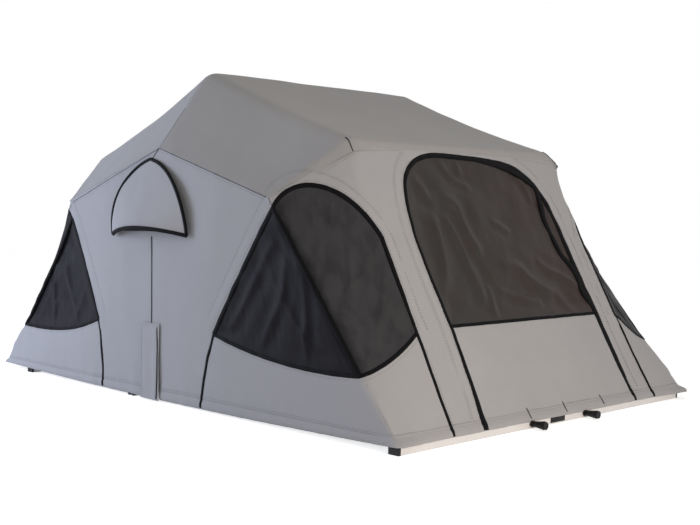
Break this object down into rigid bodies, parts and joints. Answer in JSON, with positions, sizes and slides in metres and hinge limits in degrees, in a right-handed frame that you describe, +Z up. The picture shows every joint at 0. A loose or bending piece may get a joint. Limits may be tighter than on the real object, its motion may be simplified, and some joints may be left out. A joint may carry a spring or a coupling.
{
  "type": "roof top tent",
  "caption": "Book-fold roof top tent: hinged platform on slotted rails, fanning bent-tube bows, and a canvas canopy with mesh corner windows, zipped doors and hooded vents.",
  "frame": {"origin": "middle of the overall length (knobs included) and of the width, on the plane of the rail undersides; the fold line is 29 mm towards -X", "axes": "+X out of the door end, +Y across the tent, +Z up"},
  "size_m": [2.458, 1.6572, 1.198],
  "materials": {
    "floor_board": "composite sandwich board, satin skin",
    "edge_extrusion": "mill finish extrusion",
    "rail_extrusion": "pale anodised extrusion",
    "black_plastic": "moulded, fine texture",
    "plated_steel": "zinc plated",
    "mattress_cover": "knitted cover over foam",
    "binding_tape": "black woven tape and coil zip",
    "insect_mesh": "fine dark mesh with a slight sheen",
    "roof_canvas": "grey coated canvas, matte",
    "wall_canvas": "light grey canvas, matte",
    "bow_tube": "satin tube"
  },
  "bodies": {
    "base": {"base_panel": "floor_board", "base_edge_frame": "edge_extrusion", "outer_mount_rail": "rail_extrusion", "inner_mount_rail": "rail_extrusion", "mount_rail_caps": "black_plastic", "base_hinge_plates": "plated_steel", "hinge_pins": "plated_steel", "rear_bow_brackets": "plated_steel", "rear_bow_pins": "plated_steel", "base_bolts": "plated_steel", "base_mattress": "mattress_cover", "base_skirt": "wall_canvas", "rear_end_wall": "wall_canvas", "rear_door_mesh": "insect_mesh", "rear_door_panel": "wall_canvas", "rear_door_binding": "binding_tape", "rear_corner_panels": "wall_canvas", "rear_corner_mesh": "insect_mesh", "rear_corner_binding": "binding_tape", "hinge_flaps": "wall_canvas"},
    "fold_platform": {"fold_panel": "floor_board", "fold_edge_frame": "edge_extrusion", "ladder_rail": "rail_extrusion", "ladder_rail_caps": "black_plastic", "fold_hinge_plates": "plated_steel", "front_bow_brackets": "plated_steel", "front_bow_pins": "plated_steel", "fold_bolts": "plated_steel", "fold_mattress": "mattress_cover", "fold_skirt": "wall_canvas", "front_end_wall": "wall_canvas", "front_door_mesh": "insect_mesh", "front_door_panel": "wall_canvas", "front_door_binding": "binding_tape", "front_corner_panels": "wall_canvas", "front_corner_mesh": "insect_mesh", "front_corner_binding": "binding_tape"},
    "centre_bow": {"centre_bow": "bow_tube", "roof_cover": "roof_canvas", "near_side_wall": "wall_canvas", "far_side_wall": "wall_canvas", "vent_mesh": "insect_mesh", "vent_hoods": "wall_canvas"},
    "rear_bow": {"rear_bow": "bow_tube"},
    "front_bow": {"front_bow": "bow_tube"},
    "left_knob": {"left_ladder_knob": "black_plastic"},
    "right_knob": {"right_ladder_knob": "black_plastic"}
  },
  "joints": [
    {"name": "fold_hinge", "type": "hinge", "parent": "base", "child": "fold_platform", "pos_m": [-0.029, 0, 0.18], "axis": [0, -1, 0], "range_deg": [0, 179.9], "deforming": ["rear_end_wall", "rear_door_mesh", "rear_door_panel", "rear_door_binding", "rear_corner_panels", "rear_corner_mesh", "rear_corner_binding", "front_end_wall", "front_door_mesh", "front_door_panel", "front_door_binding", "front_corner_panels", "front_corner_mesh", "front_corner_binding", "roof_cover", "near_side_wall", "far_side_wall", "vent_mesh", "vent_hoods"]},
    {"name": "centre_bow_pivot", "type": "hinge", "parent": "base", "child": "centre_bow", "pos_m": [-0.029, 0, 0.18], "axis": [0, -1, 0], "range_deg": [0, 90]},
    {"name": "rear_bow_pivot", "type": "hinge", "parent": "base", "child": "rear_bow", "pos_m": [-0.14714, 0, 0.11], "axis": [0, -1, 0], "range_deg": [0, 52]},
    {"name": "front_bow_pivot", "type": "hinge", "parent": "fold_platform", "child": "front_bow", "pos_m": [0.08914, 0, 0.11], "axis": [0, 1, 0], "range_deg": [0, 52]},
    {"name": "left_knob_turn", "type": "hinge", "parent": "fold_platform", "child": "left_knob", "pos_m": [1.171, -0.145, 0.016], "axis": [1, 0, 0], "continuous": true},
    {"name": "right_knob_turn", "type": "hinge", "parent": "fold_platform", "child": "right_knob", "pos_m": [1.171, 0.145, 0.016], "axis": [1, 0, 0], "continuous": true}
  ],
  "couplings": [
    {"joint": "centre_bow_pivot", "follows": "fold_hinge", "ratio": 0.5},
    {"joint": "rear_bow_pivot", "follows": "fold_hinge", "ratio": 0.28889},
    {"joint": "front_bow_pivot", "follows": "fold_hinge", "ratio": 0.28889}
  ]
}
